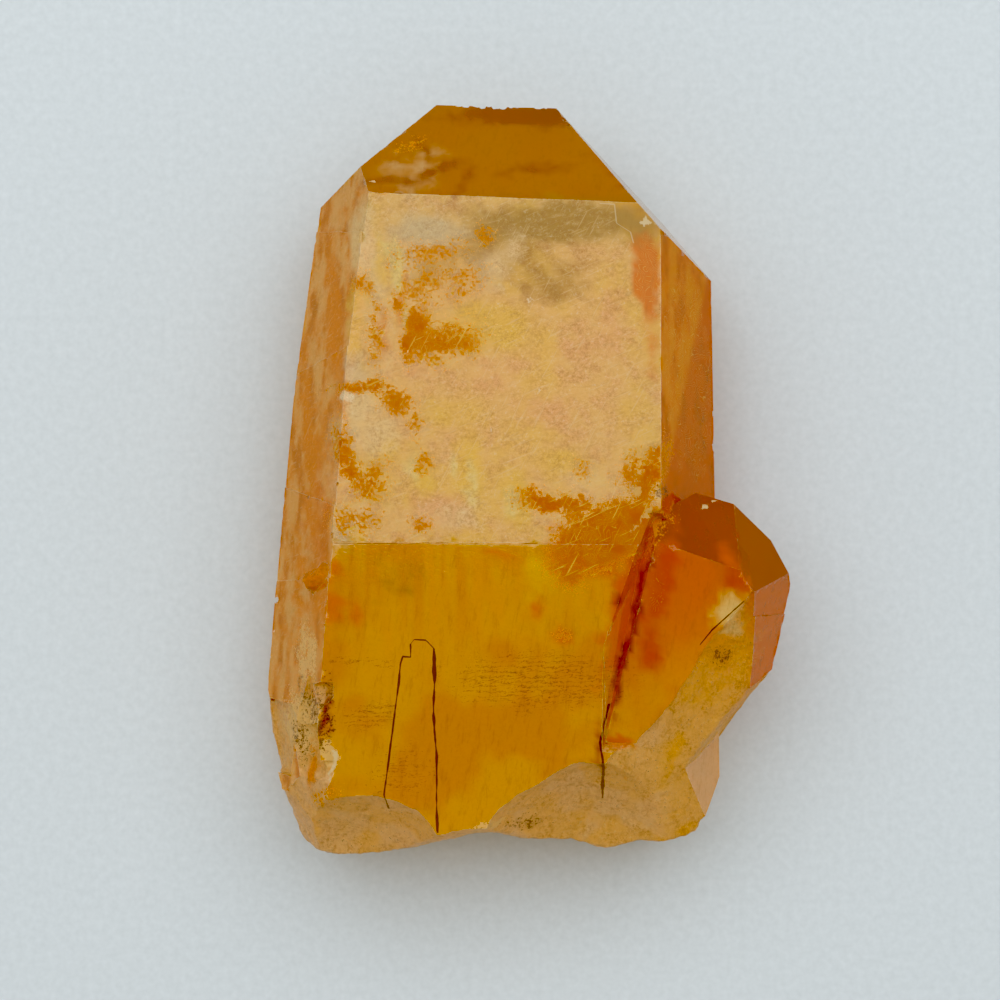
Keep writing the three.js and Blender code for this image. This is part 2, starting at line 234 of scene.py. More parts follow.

# Soft zones of colour in the side that faces up. Each oval is (x, y, half width, half height,
# turn in degrees, strength), in millimetres.
ZONES = [
    # deeper, redder quartz; the veil leaves these places clear
    (ORANGE, [
        (9.9, 17.6, 0.9, 3.2, 4, 1.9), (10.3, 11.6, 0.9, 3.4, 0, 0.5),
        (8.4, -10.0, 1.3, 6.5, -13, 0.9),
        (-18.0, -2.0, 1.4, 7.0, 4, 0.5), (5.9, -5.6, 3.6, 2.4, 15, 0.9),
    ]),
    # straw-yellow glints
    (STRAW, [
        (-12.7, 17.0, 1.0, 4.5, 2, 0.8), (-14.4, 14.2, 0.7, 2.8, 0, 0.6),
        (-3.7, 12.6, 4.5, 2.2, 0, 0.75), (-4.9, 0.8, 1.2, 3.4, 0, 0.9),
        (-1.1, -1.8, 1.3, 2.8, 0, 0.9), (-8.4, -0.6, 0.9, 1.4, 20, 0.9),
        (-12.3, 3.0, 1.2, 1.6, 0, 0.7), (2.9, 1.4, 2.0, 1.4, 0, 0.6), (-14.9, 11.4, 0.5, 1.6, 0, 0.6),
        (-6.1, 5.5, 3.0, 1.6, 0, 0.5), (0.9, -9.5, 1.0, 3.5, 0, 0.5),
    ]),
    # pink-tinged quartz
    (ROSE, [
        (-7.6, -3.0, 2.6, 1.8, 0, 0.8), (-15.5, 0.2, 1.4, 2.6, 0, 0.6),
        (1.3, 5.6, 2.6, 1.4, 0, 0.6), (-13.7, 20.0, 1.0, 1.6, 0, 0.6),
        (7.0, 13.0, 1.2, 4.0, 0, 0.6), (-14.3, -3.0, 1.6, 1.2, 0, 0.6),
        (-3.0, 8.6, 2.4, 1.6, 0, 0.5), (-9.0, 9.0, 1.8, 0.8, 0, 0.6), (4.2, 11.0, 2.4, 1.2, 20, 0.5),
    ]),
    # painted shade: a duller, olive band under the top edge
    (OLIVE_SHADE, [
        (2.6, 21.6, 7.6, 1.7, 1, 1.0), (-2.5, 19.4, 3.6, 2.4, 0, 0.75),
        (1.7, 16.6, 3.4, 2.2, 0, 0.62), (9.1, 21.4, 2.2, 1.5, -20, 0.7),
        (-8.1, 17.6, 3.4, 1.0, 25, 0.6), (-11.1, -8.6, 2.4, 1.8, 0, 0.25),
    ]),
    # hazy, milky patches
    (HAZE, [
        (-8.7, 20.8, 3.0, 1.5, 0, 0.8), (-10.7, 18.6, 1.6, 1.3, 0, 0.7),
        (-9.9, 26.0, 2.6, 1.8, 20, 0.45), (10.2, 24.8, 1.0, 0.6, 20, 0.7),
        (-15.0, 8.4, 1.5, 2.2, 0, 0.7), (-15.7, 3.6, 1.2, 1.8, 0, 0.7),
        (-3.5, 17.4, 1.6, 1.8, 0, 0.5), (-15.7, -4.4, 1.0, 1.6, 0, 0.7),
    ]),
    # tawny zones along the small crystal's tip, and painted shade down the groove between the crystals
    (TAWNY, [
        (9.0, -11.5, 0.35, 8.6, -14, 0.8), (7.6, -10.2, 0.4, 0.5, 0, 0.8),
        (6.2, -22.6, 0.4, 2.2, 0, 0.5), (8.3, 27.0, 2.4, 1.6, -35, 0.6),
        (-16.0, 13.0, 0.4, 6.5, 4, 0.5), (-17.2, -19.8, 0.4, 2.0, 0, 0.8),
    ]),
    # red-brown mottling inside the small crystal
    (BRICK, [
        (11.4, -8.4, 1.1, 4.4, -12, 0.7), (10.3, -14.6, 1.1, 2.0, 0, 0.65),
        (9.9, -12.4, 0.8, 3.0, -12, 0.5), (17.4, -8.0, 0.8, 2.6, 20, 0.6),
    ]),
    # pale, cream-coloured quartz down the left edge of the front face
    (LINEN, [
        (-14.0, 19.8, 1.2, 3.2, 4, 0.9), (-12.6, 13.6, 0.9, 4.4, 4, 0.8),
        (-14.4, 6.0, 1.6, 2.4, 0, 0.75), (-12.8, 3.6, 2.2, 1.4, 30, 0.6),
        (-14.8, -3.4, 1.6, 0.9, 0, 0.8), (-7.0, -3.6, 2.6, 1.2, 0, 0.45),
        (-2.0, 18.6, 2.4, 1.0, 60, 0.6), (5.2, -0.2, 2.0, 1.2, 0, 0.5),
        (-10.4, 16.0, 1.2, 1.6, 0, 0.7), (16.8, -10.8, 1.5, 1.0, 45, 0.8),
        (17.2, -12.4, 1.4, 0.8, 45, 0.6),
    ]),
    # the end of the facet beside the groove
    (EMBER, [(7.6, -22.2, 1.2, 0.5, 0, 1.0)]),
    # red-brown zones in the left side, and blots low in the front face
    (SIENNA, [
        (-17.9, -8.4, 1.3, 1.3, 0, 0.9), (-16.4, 13.0, 0.7, 8.0, 4, 0.8), (-18.9, 3.0, 0.6, 8.0, 4, 0.8),
        (-17.0, -10.8, 1.4, 1.3, 0, 0.9), (-19.6, -9.0, 0.4, 4.0, 0, 0.8), (-17.6, 3.4, 0.7, 2.6, 0, 0.6),
        (-14.6, -11.4, 0.7, 1.2, 0, 0.6), (0.8, -11.0, 0.8, 1.0, 0, 0.6), (2.8, -13.4, 1.2, 0.8, 0, 0.6),
        (-16.4, -7.6, 0.6, 0.6, 0, 0.6), (-2.7, -6.3, 1.2, 0.4, 0, 0.5), (-18.4, -24.3, 0.4, 1.8, 0, 0.7),
        (-10.6, 15.0, 0.4, 2.8, 0, 0.7), (-12.3, 12.5, 0.6, 2.8, 0, 0.55),
    ]),
    # bright glints from inside
    (GLOW, [
        (-11.1, 17.6, 0.35, 2.0, 4, 1.0), (-10.2, 13.4, 0.3, 1.6, -6, 0.6),
        (-4.6, -0.2, 0.4, 2.2, 0, 0.7), (-1.4, -2.2, 0.7, 1.4, 0, 0.7), (-9.6, 0.8, 0.4, 1.2, 10, 0.7),
        (-12.0, 19.4, 0.4, 1.2, 0, 0.6), (-6.4, 1.0, 0.3, 1.2, 0, 0.6),
    ]),
    # dark streaks in the tip face
    (MAHOGANY, [
        (0.4, 31.6, 6.5, 1.0, 0, 1.0), (-11.5, 25.2, 3.0, 0.5, 0, 0.6),
        (-7.5, 26.4, 2.6, 0.5, 25, 0.7), (-8.9, 28.0, 0.35, 1.6, 30, 0.6),
        (-5.7, 25.0, 0.5, 2.0, -30, 0.55), (0.4, 26.5, 4.0, 0.6, 10, 0.45),
    ]),
]

# Stains and cracks with sharper, ragged rims, as ovals of the same kind.
OVALS = {
    # iron stain
    "rust": [
        (-9.4, 12.2, 1.0, 2.2, -20, 1.2), (-7.1, 11.5, 2.8, 1.5, 15, 0.95),
        (-8.5, 19.0, 2.8, 1.0, 10, 0.6), (-9.0, 16.2, 2.8, 1.1, 35, 0.62),
        (-5.5, 16.6, 2.0, 1.0, 30, 0.5), (-3.7, 20.6, 0.8, 0.9, 0, 0.6),
        (-14.2, 7.5, 2.4, 0.5, 0, 0.9), (-11.3, 6.6, 1.4, 1.1, 0, 0.9),
        (-9.4, 4.9, 0.5, 1.4, 0, 0.7), (-15.3, 1.6, 0.9, 2.8, 15, 0.9),
        (-13.3, -0.4, 1.3, 1.5, -40, 0.8), (-8.7, 1.2, 0.8, 0.8, 0, 0.6),
        (-9.0, -3.9, 1.0, 0.8, 0, 0.7), (-14.7, -3.6, 2.0, 1.2, 0, 0.6),
        (0.2, -1.2, 1.0, 0.7, 0, 0.8), (2.6, -2.2, 3.2, 0.9, -8, 1.1),
        (8.5, 0.8, 1.5, 0.9, 60, 0.7), (9.9, -0.4, 1.0, 3.2, -25, 1.1),
        (6.7, -4.8, 4.0, 2.1, 20, 1.9), (3.5, -7.4, 1.7, 1.6, 0, 1.0),
        (2.9, -13.2, 0.8, 0.5, 0, 0.6), (-17.0, -26.8, 1.0, 0.8, 40, 0.5),
        (-13.9, 16.2, 0.8, 1.0, 0, 0.7), (-12.9, 12.2, 0.6, 2.6, 0, 0.6),
        (-11.0, 14.6, 0.6, 0.8, 0, 0.8), (4.5, 0.6, 0.8, 0.9, 0, 0.5),
        (-10.0, 28.8, 0.4, 1.2, -60, 0.4),
    ],
    # milky and frosted quartz
    "frost": [
        (-16.8, -23.3, 0.8, 1.3, 0, 0.9),
        (-3.3, -29.2, 2.0, 0.5, 15, 0.7), (-19.4, -21.0, 1.8, 2.8, 0, 0.8),
        (-19.0, -15.2, 1.2, 3.4, 0, 0.6), (9.8, -3.1, 0.3, 1.8, -35, 0.8),
        (8.9, -1.0, 0.5, 0.5, 0, 0.7),
    ],
    # open cracks that catch the light
    "gleam": [
        (15.9, -2.2, 1.3, 0.16, 8, 0.75),
        (-16.5, -23.8, 0.25, 1.8, -8, 0.9),
        (-15.4, 6.8, 0.7, 0.6, 0, 0.7), (0.3, 15.0, 0.6, 0.4, -40, 0.6),
        (10.0, 21.6, 0.25, 0.45, 30, 0.8), (-13.1, 25.2, 0.3, 0.25, 0, 0.8),
        (0.8, 7.2, 0.6, 0.25, 50, 0.6), (-3.0, 4.0, 0.25, 0.7, 0, 0.6),
    ],
    # clusters of dark specks
    "soot": [
        (-0.6, -29.2, 1.3, 0.5, 0, 0.45), (4.9, -30.2, 1.5, 0.5, 0, 0.5),
        (-17.1, -20.2, 0.6, 2.6, 0, 0.55), (16.2, -15.2, 0.8, 0.8, 0, 0.35),
        (-18.2, -19.4, 1.2, 1.6, 0, 0.4), (-19.4, -22.2, 0.8, 1.6, 0, 0.4),
        (-19.6, -17.4, 0.3, 0.8, 0, 0.6), (11.4, -1.2, 0.4, 0.4, 0, 0.6),
    ],
    # bright curved hairlines
    "curl": [
        (5.6, -5.0, 3.0, 1.8, 20, 0.8), (-7.1, 11.5, 2.8, 1.6, 15, 1.0),
        (13.9, 9.0, 2.2, 9.0, 3, 0.9), (10.1, 17.6, 1.0, 3.0, 0, 0.9),
        (18.5, -15.0, 1.6, 3.4, -30, 0.6), (10.9, -9.4, 1.0, 2.8, -12, 0.5),
        (-10.1, 16.6, 2.6, 1.6, 0, 0.8),
    ],
    # fine wavy lines of healed cracks
    "ripple": [
        (1.1, -17.0, 7.0, 2.2, 0, 1.0), (-13.3, -19.9, 2.2, 1.0, 0, 0.95),
        (-10.7, -24.8, 2.6, 2.4, 0, 0.6), (-14.1, -15.4, 3.0, 0.4, 0, 0.7),
    ],
}


def smooth(value, start, end):
    """0 where value is at start and 1 where it is at end, smooth between them."""
    share = np.clip((value - start) / (end - start), 0, 1)
    return share * share * (3 - 2 * share)


def over(under, colour, mask):
    """One colour over another where the mask is 1, at each place."""
    return under + (np.array(colour) - under) * mask[:, None]


def depth_in_ovals(places, ovals):
    """For each place, how deep it lies in the deepest of these ovals: 0.5 of its strength at its rim,
    less outside, and -1 far away."""
    deepest = np.full(len(places), -1.0)
    for x, y, half_width, half_height, turn, strength in ovals:
        angle = math.radians(turn)
        across, along = places[:, 0] - x, places[:, 1] - y
        u = (across * math.cos(angle) + along * math.sin(angle)) / half_width
        v = (along * math.cos(angle) - across * math.sin(angle)) / half_height
        depth = np.clip(1.5 - np.hypot(u, v), -1, 1)
        deepest = np.maximum(deepest, np.where(depth > 0, strength * depth, depth))
    return deepest


def pushed(place):
    """The place in mm, moved about unevenly, so that what is drawn there gets an uneven rim."""
    return place + 0.5 * noise.noise_vector(place * 0.45) + 0.4 * noise.noise_vector(place * 1.4)


def cloud_at(place):
    """Broad, soft changes in the depth of the quartz's colour."""
    return 0.5 + 0.5 * noise.fractal(place * 0.16, 0.9, 2.0, 4)


def streak_at(place):
    """Mottling drawn out along the prism faces."""
    turned = Vector((place.x * 0.8 + place.y * 0.12, place.y * 0.24 - place.x * 0.1, place.z * 0.8))
    return 0.5 + 0.6 * noise.fractal(turned, 0.7, 2.1, 4)


def curtain_at(place):
    """Streaks that hang down the crystal below the ledge."""
    return 0.5 + 0.7 * noise.fractal(Vector((place.x * 0.8, place.y * 0.07, place.z * 0.3)), 0.8, 2.2, 4)


def blotch_at(place):
    """Mottling about a millimetre across."""
    return 0.5 + 0.5 * noise.fractal(place * 0.75 + Vector((7, 3, 1)), 0.7, 2.1, 3)


def face_directions(data, grown):
    """The direction each mesh face looks in: that of its whole crystal face, if it is part of one."""
    own = np.array([face.normal * face.area for face in data.polygons])
    total = np.zeros((grown.max() + 1, 3))
    np.add.at(total, grown, own)
    directions = np.where(grown[:, None] > 0, total[grown], own)
    return directions / np.linalg.norm(directions, axis=1)[:, None]


def store(data, name, values, domain="POINT"):
    """Stores one number for each point, face or corner of the mesh, for the material to read."""
    layer = data.attributes.new(name, "FLOAT", domain)
    layer.data.foreach_set("value", np.asarray(values, np.float32))


# Borders between the parts of the crystals, in mm: the ledge across the front face, which falls a
# little to the right, the groove between the crystals, and the front face's cut-off corner.
LEDGE_Y, LEDGE_FALL = -5.6, 0.01
GROOVE_FOOT, GROOVE_ACROSS = (6.2, -22.4), (0.974, -0.225)
CORNER_X, CORNER_Y, CORNER_FALL = 7.2, 21.6, 1.05


def parts_of(places, facing, broken):
    """How far each place belongs to each part of the crystals: 1 inside it, 0 outside."""
    x, y = places[:, 0], places[:, 1]
    past_groove = GROOVE_ACROSS[0] * (x - GROOVE_FOOT[0]) + GROOVE_ACROSS[1] * (y - GROOVE_FOOT[1])
    past_corner = y + CORNER_FALL * (x - CORNER_X) - CORNER_Y
    small = smooth(past_groove, 0, 0.5)
    front = smooth(facing[:, 2], 0.93, 0.985) * (1 - small)
    upper = front * (y > LEDGE_Y - LEDGE_FALL * x)
    corner = smooth(x, CORNER_X - 0.1, CORNER_X + 0.1) * smooth(past_corner, 0, 0.3)
    tip = smooth(facing[:, 1], 0.3, 0.45)
    side = smooth(np.abs(facing[:, 0]), 0.6, 0.75) * (1 - tip)
    right = side * smooth(x, 0, 1)
    return SimpleNamespace(
        x=x, y=y, small=small, upper=upper, corner=corner, tip=tip, side=side, right=right,
        left=side - right,
        below=front * smooth(y, -20, -7) * (1 - upper),
        small_right_tip=tip * small * smooth(facing[:, 0], 0.4, 0.6),
        low_right=right * smooth(y, -20, -22),
        root=broken * smooth(y, -10, -24),
    )


def colour_of_parts(part, pattern):
    """The quartz's own colour at each place, before its zones: amber, peach, orange or brown."""
    mottled = smooth(pattern["streak"], 0.32, 0.78)
    washes = [
        (AMBER_LIGHT, smooth(pattern["cloud"], 0.35, 0.65)),
        (AMBER_DEEP, part.below * smooth(pattern["curtain"], 0.5, 0.8) * 0.9),
        (HONEY, part.below * smooth(pattern["curtain"], 0.5, 0.2) * 0.7),
        (EMBER, part.small * smooth(part.y, -24, -7)),
        (UMBER, part.tip * (1 - part.small) * 0.9),
        (TAWNY, part.tip * part.small * 0.95),
        (GARNET, part.small_right_tip * 0.9),
        (ROSE, part.left * 0.62),
        (SIENNA, part.right * 0.8),
        (BRICK, part.right * part.small * 0.9),
        (PEACH, part.upper * (1 - part.corner)),
        (ROSE, part.upper * smooth(pattern["blotch"], 0.45, 0.7) * 0.6),
        (STRAW, part.upper * smooth(pattern["cloud"], 0.5, 0.7) * 0.5),
        (SIENNA, mottled * part.left * 0.9),
        (ORANGE, mottled * part.right * (1 - part.small) * 0.9),
        (MAHOGANY, smooth(pattern["streak"], 0.55, 0.95) * part.side * 0.4),
        (BUFF, part.low_right * 0.8),
        (BUFF, part.root * 0.9),
        (HONEY, part.root * (0.4 * smooth(part.x, 10, 13) + 0.3 * smooth(pattern["cloud"], 0.45, 0.6))),
    ]
    colour = np.array([AMBER_DEEP])
    for tint, mask in washes:
        colour = over(colour, tint, mask)
    return colour


def with_zones(colour, facing, pattern):
    """Lays the soft zones of colour over the faces that look up."""
    for tint, ovals in ZONES:
        depth = depth_in_ovals(pattern["pushed"], ovals) + 0.6 * (pattern["blotch"] - 0.5)
        depth = np.where(facing[:, 2] > 0.1, depth, 0)
        colour = over(colour, tint, smooth(depth, 0.05, 0.85))
    return colour


def veil_of_parts(part, pattern):
    """Where a pale veil lies over the colour: on the upper front face and on the left side."""
    saturated = smooth(depth_in_ovals(pattern["pushed"], ZONES[0][1]), 0.1, 0.7)
    return np.maximum(part.upper * (1 - part.corner) * (1 - saturated), part.left * 0.5)


def read_patterns(places):
    """What each of the broad patterns is at each of these places in mm."""
    readers = {"cloud": cloud_at, "streak": streak_at, "curtain": curtain_at, "blotch": blotch_at,
               "pushed": pushed}
    return {name: np.array([reader(place) for place in places]) for name, reader in readers.items()}


def store_marks(data, kinds, places, pattern):
    """Stores on the mesh where its upper side is stained, frosted, cracked and so on, where it is
    mottled, and where its edges carry a painted highlight."""
    upward = np.array([vert.normal.z for vert in data.vertices]) > 0.1
    for name, ovals in OVALS.items():
        depth = depth_in_ovals(pattern["pushed"], ovals) + 0.4 * (pattern["blotch"] - 0.5)
        store(data, name, np.where(upward, depth, -1))
    store(data, "blotch", pattern["blotch"])
    # where a painted highlight runs along the edges between crystal faces, weaker on the small crystal
    small = np.array([place.x > 7 and place.y < 0 for place in places])
    store(data, "edge", (kinds == EDGE) * np.where(small, SMALL_CRYSTAL_EDGE_LIGHT, 1.0))


def paint(data, kinds):
    """Stores on the mesh its colour, and where it is broken, veiled or marked."""
    grown = np.zeros(len(data.polygons), np.int32)
    data.attributes["crystal_face"].data.foreach_get("value", grown)
    store(data, "broken", grown == 0, "FACE")
    places = [vert.co / MM for vert in data.vertices]
    pattern = read_patterns(places)
    store_marks(data, kinds, places, pattern)

    corner_point = np.zeros(len(data.loops), np.int32)
    data.loops.foreach_get("vertex_index", corner_point)
    corner_face = np.repeat(np.arange(len(data.polygons)), 3)
    at_corner = {name: values[corner_point] for name, values in pattern.items()}
    facing = face_directions(data, grown)[corner_face]
    part = parts_of(np.array(places)[corner_point], facing, (grown == 0)[corner_face])
    colour = with_zones(colour_of_parts(part, at_corner), facing, at_corner)
    opaque = np.column_stack([colour, np.ones(len(colour))]).astype(np.float32)
    body = data.attributes.new("body", "FLOAT_COLOR", "CORNER")
    body.data.foreach_set("color", opaque.ravel())
    store(data, "veil", veil_of_parts(part, at_corner), "CORNER")


def quartz_object():
    """The crystals' solid, cut finely enough to carry its relief, then carved and coloured."""
    mesh = crystal_mesh()
    number = number_grown_faces(mesh)
    cut_into_cells(mesh)
    mesh.normal_update()
    kinds = {vert: kind_of(vert, number) for vert in mesh.verts}
    soften_breaks(mesh, kinds)
    mesh.normal_update()
    carve_relief(mesh, kinds)
    for edge in mesh.edges:
        edge.smooth = len({face[number] for face in edge.link_faces}) == 1
    for face in mesh.faces:
        face.smooth = True
    data = bpy.data.meshes.new("quartz")
    mesh.to_mesh(data)
    paint(data, np.array([kinds[vert] for vert in mesh.verts]))
    mesh.free()
    return bpy.data.objects.new("quartz", data)


noise.seed_set(21)  # the same uneven rims on every run
quartz = quartz_object()
bpy.context.scene.collection.objects.link(quartz)


def wire(tree, value, socket):
    """Sets a socket to a plain value, or links it to another node's output."""
    if isinstance(value, bpy.types.NodeSocket):
        tree.links.new(value, socket)
    else:
        socket.default_value = value


def add_node(tree, kind, inputs=(), **settings):
    """A new shader node. Its inputs are plain values or other nodes' outputs, by name or place."""
    node = tree.nodes.new("ShaderNode" + kind)
    for name, value in settings.items():
        setattr(node, name, value)
    for key, value in dict(inputs).items():
        wire(tree, value, node.inputs[key])
    return node


def calculate(tree, operation, *values):
    """The outcome of one arithmetic step on these values."""
    return add_node(tree, "Math", enumerate(values), operation=operation).outputs[0]


def rise(tree, value, start, end):
    """0 where value is at start and 1 where it is at end, smooth between them."""
    ends = {"Value": value, "From Min": start, "From Max": end}
    return add_node(tree, "MapRange", ends, interpolation_type="SMOOTHSTEP").outputs["Result"]


def lay_over(tree, under, over, mask):
    """One colour over another where the mask is 1."""
    layers = {"Fac": mask, "Color1": under, "Color2": over}
    return add_node(tree, "MixRGB", layers).outputs["Color"]


def times(tree, *values):
    """The product of these values."""
    total = values[0]
    for value in values[1:]:
        total = calculate(tree, "MULTIPLY", total, value)
    return total


def strongest(tree, masks):
    """The largest of these masks at each place."""
    total = masks[0]
    for mask in masks[1:]:
        total = calculate(tree, "MAXIMUM", total, mask)
    return total


def stored(tree, name):
    """A number stored on the mesh."""
    return add_node(tree, "Attribute", attribute_name=name).outputs["Fac"]


def stretched(tree, place, factors, turn=0):
    """The place in mm, turned and then scaled on each axis, so that a noise read there is drawn out
    along a direction that slopes by the turn."""
    sizes = [1 / factor for factor in factors]
    steps = {"Vector": place, "Rotation": (0, 0, math.radians(turn)), "Scale": sizes}
    return add_node(tree, "Mapping", steps, vector_type="TEXTURE").outputs["Vector"]


def noise_at(tree, place, scale, detail, roughness, swirl=0.0):
    """Even cloudy noise between 0 and 1, around 0.5."""
    inputs = {"Vector": place, "Scale": scale, "Detail": detail, "Roughness": roughness,
              "Distortion": swirl}
    return add_node(tree, "TexNoise", inputs).outputs["Fac"]


def ragged(tree, name, fray, amount):
    """The patches stored under a name, their rims frayed by a value near 0: 1 inside, 0 outside."""
    frayed = calculate(tree, "MULTIPLY_ADD", fray, amount, stored(tree, name))
    return rise(tree, frayed, 0.45, 0.53)


def contour_lines(tree, value, width):
    """Thin lines wherever the value passes a whole number."""
    gap = calculate(tree, "PINGPONG", value, 0.5)
    return rise(tree, gap, width, 0.0)


def crack_line(tree, along, across, points, reach):
    """A hairline through these points, given in mm as (along, across), that reaches this far in mm
    to each side of them."""
    first, last = points[0][0], points[-1][0]
    curve = add_node(tree, "FloatCurve", {"Value": along})
    curve.mapping.use_clip = False
    knots = curve.mapping.curves[0].points
    while len(knots) < len(points):
        knots.new(0.5, 0.5)
    for knot, point in zip(knots, points):
        knot.location = point
        knot.handle_type = "VECTOR"
    curve.mapping.update()
    on_line = calculate(tree, "COMPARE", across, curve.outputs["Value"], reach)
    within_ends = calculate(tree, "COMPARE", along, (first + last) / 2, (last - first) / 2)
    return times(tree, on_line, within_ends)


# The iron-stained crack on the front face, shaped like a narrow door, then the crack that runs on
# from the groove between the crystals. Points are in mm, in order along the line.
LEFT_LEG = [(-27.95, -11.82), (-26.61, -12.15), (-24.43, -11.86), (-21.53, -11.48), (-18.71, -11.12),
            (-17.24, -10.92), (-15.61, -10.78), (-14.97, -10.58)]
RIGHT_LEG = [(-29.8, -7.66), (-27.7, -7.73), (-23.42, -7.73), (-21.23, -7.91), (-19.13, -8),
             (-17.2, -7.9), (-14.29, -7.97)]
LINTEL = [(-9.93, -13.95), (-9.64, -13.56), (-8.64, -13.6), (-7.97, -14.29)]
STEP_TREAD = [(-10.61, -14.97), (-9.91, -15.03)]
STEP_RISE = [(-15.05, -9.92), (-13.9, -9.92)]
GROOVE_CRACK = [(-27.4, 6.39), (-26.2, 6.34), (-24.5, 6.34), (-22.2, 5.99), (-19, 6.79)]
# The bent crack inside the small crystal, and the stepped line that cuts off the front face's corner.
SMALL_CRACK = [(14.39, -14.0), (15.4, -12.75), (18.09, -10.3)]
STEP_TOP = [(5.99, 23.2), (7.25, 23.12)]
STEP_SIDE = [(19.84, 8.85), (20.77, 8.6), (21.52, 7.42), (23.12, 7.25)]

# The colours of the marks on it, as red, green, blue and opacity.
RUST = (0.88, 0.31, 0.001, 1)
DARK_RUST = (0.64, 0.11, 0.001, 1)
BUFF_DUST = (0.97, 0.66, 0.27, 1)
PALE_PEACH = (0.99, 0.70, 0.30, 1)
CREAM = (0.99, 0.84, 0.50, 1)
GLINT = (0.99, 0.68, 0.13, 1)
CRACK_BROWN = (0.10, 0.012, 0.001, 1)
SHADOW = (0.30, 0.09, 0.002, 1)

# How far each mark hides the quartz's own colour: 0 not at all, 1 wholly.
STROKE_SHADE, STROKE_LIGHT = 0.22, 0.5
GRAIN_SHADE, PATCH_SHADE = 0.08, 0.42
SPARKLE_FLECKS, THREADS, SCRATCHES = 0.5, 0.3, 0.5
DEEP_RUST, RUST_GLINTS, FROST = 0.9, 0.8, 0.85
RIPPLES, CRACKS = 0.75, 0.9
# EDGE_HIGHLIGHTS is a painted highlight along the crystal edges.
CURLS, EDGE_HIGHLIGHTS, STEPS, GLEAM = 0.7, 0.5, 0.6, 0.85

# How rough the clear quartz is, and how much more iron stain and dusty breaks add to it.
CLEAR_ROUGHNESS, RUST_ROUGHNESS, DUST_ROUGHNESS = 0.08, 0.42, 0.35

# How deep the finest pits are on clear and on broken quartz, as shares of PIT_BUMP.
PIT_BUMP = 0.12 * MM
CLEAR_PITS, BROKEN_PITS = 0.12, 1.6


def read_surface(tree):
    """What the marks on the quartz share: each place in mm, what is stored on the mesh, and the grain
    and fine lines that run over all of it."""
    corner = add_node(tree, "TexCoord").outputs["Object"]
    to_mm = add_node(tree, "VectorMath", {0: corner, "Scale": 1 / MM}, operation="SCALE")
    here = SimpleNamespace(place=to_mm.outputs[0])
    here.x, here.y, here.z = add_node(tree, "SeparateXYZ", {0: here.place}).outputs
    here.broken = stored(tree, "broken")
    here.blotch = stored(tree, "blotch")
    here.veil = stored(tree, "veil")
    here.fine = noise_at(tree, here.place, 3.0, 5, 0.85)
    spread = {"Value": here.fine, "From Min": 0.36, "From Max": 0.64}
    here.grain = add_node(tree, "MapRange", spread).outputs[0]
    here.fray = calculate(tree, "SUBTRACT", here.grain, 0.5)
    here.hatch = noise_at(tree, stretched(tree, here.place, (0.7, 2.2, 1), 12), 1.0, 4, 0.75, 0.8)
    here.hung = noise_at(tree, stretched(tree, here.place, (2.2, 0.45, 1), -8), 1.0, 4, 0.75)
    here.threads = contour_lines(tree, times(tree, here.fine, 9.0), 0.15)
    here.scratches = scratch_mask(tree, here.place)
    here.rust = ragged(tree, "rust", here.fray, 1.3)
    here.frost = ragged(tree, "frost", here.fray, 0.5)
    here.dusty = strongest(tree, [here.frost, here.broken])
    return here


def scratch_mask(tree, place):
    """Fine straight scratches, in two directions."""
    rising = noise_at(tree, stretched(tree, place, (0.35, 6, 1), 24), 1.0, 1, 0.6)
    falling = noise_at(tree, stretched(tree, place, (6, 0.3, 1), -28), 1.0, 1, 0.6)
    return strongest(tree, [rise(tree, rising, 0.65, 0.72), rise(tree, falling, 0.65, 0.72)])


def with_grain(tree, here, colour):
    """Darker and lighter strokes, patches, pale flecks of painted sparkle, threads and scratches in the
    body's colour.
    """
    drift = calculate(tree, "SUBTRACT", here.hatch, here.hung)
    strokes = calculate(tree, "MULTIPLY_ADD", drift, here.veil, here.hung)
    dark_strokes = times(tree, rise(tree, strokes, 0.50, 0.30), STROKE_SHADE)
    colour = lay_over(tree, colour, SHADOW, dark_strokes)
    pale_strokes = times(tree, rise(tree, strokes, 0.52, 0.72), here.veil, STROKE_LIGHT)
    colour = lay_over(tree, colour, PALE_PEACH, pale_strokes)

    cloudy = strongest(tree, [here.veil, here.broken])
    patchy = times(tree, cloudy, rise(tree, here.blotch, 0.2, 0.8))
    shade = calculate(tree, "MULTIPLY_ADD", patchy, PATCH_SHADE, GRAIN_SHADE)
    colour = lay_over(tree, colour, SHADOW, times(tree, rise(tree, here.grain, 0.7, 0.1), shade))
    # painted highlights: pale flecks that stand for the sparkle of light off the grain
    sparkle_flecks = times(tree, rise(tree, here.grain, 0.78, 1.0), cloudy, SPARKLE_FLECKS)
    colour = lay_over(tree, colour, CREAM, sparkle_flecks)
    threads = times(tree, here.threads, rise(tree, here.blotch, 0.4, 0.7), here.veil, THREADS)
    colour = lay_over(tree, colour, PALE_PEACH, threads)
    return lay_over(tree, colour, PALE_PEACH, times(tree, here.scratches, here.veil, SCRATCHES))


def with_stains(tree, here, colour):
    """Iron stain, darker in its middle and crossed by glints, and frosted patches."""
    middle = calculate(tree, "MULTIPLY_ADD", here.fray, 0.9, stored(tree, "rust"))
    deep = times(tree, rise(tree, middle, 0.6, 0.95), DEEP_RUST)
    rust_colour = lay_over(tree, RUST, DARK_RUST, deep)
    bright_threads = times(tree, here.threads, rise(tree, here.blotch, 0.25, 0.55))
    glints = times(tree, strongest(tree, [bright_threads, here.scratches]), RUST_GLINTS)
    rust_colour = lay_over(tree, rust_colour, GLINT, glints)
    colour = lay_over(tree, colour, rust_colour, here.rust)
    return lay_over(tree, colour, BUFF_DUST, times(tree, here.frost, FROST))


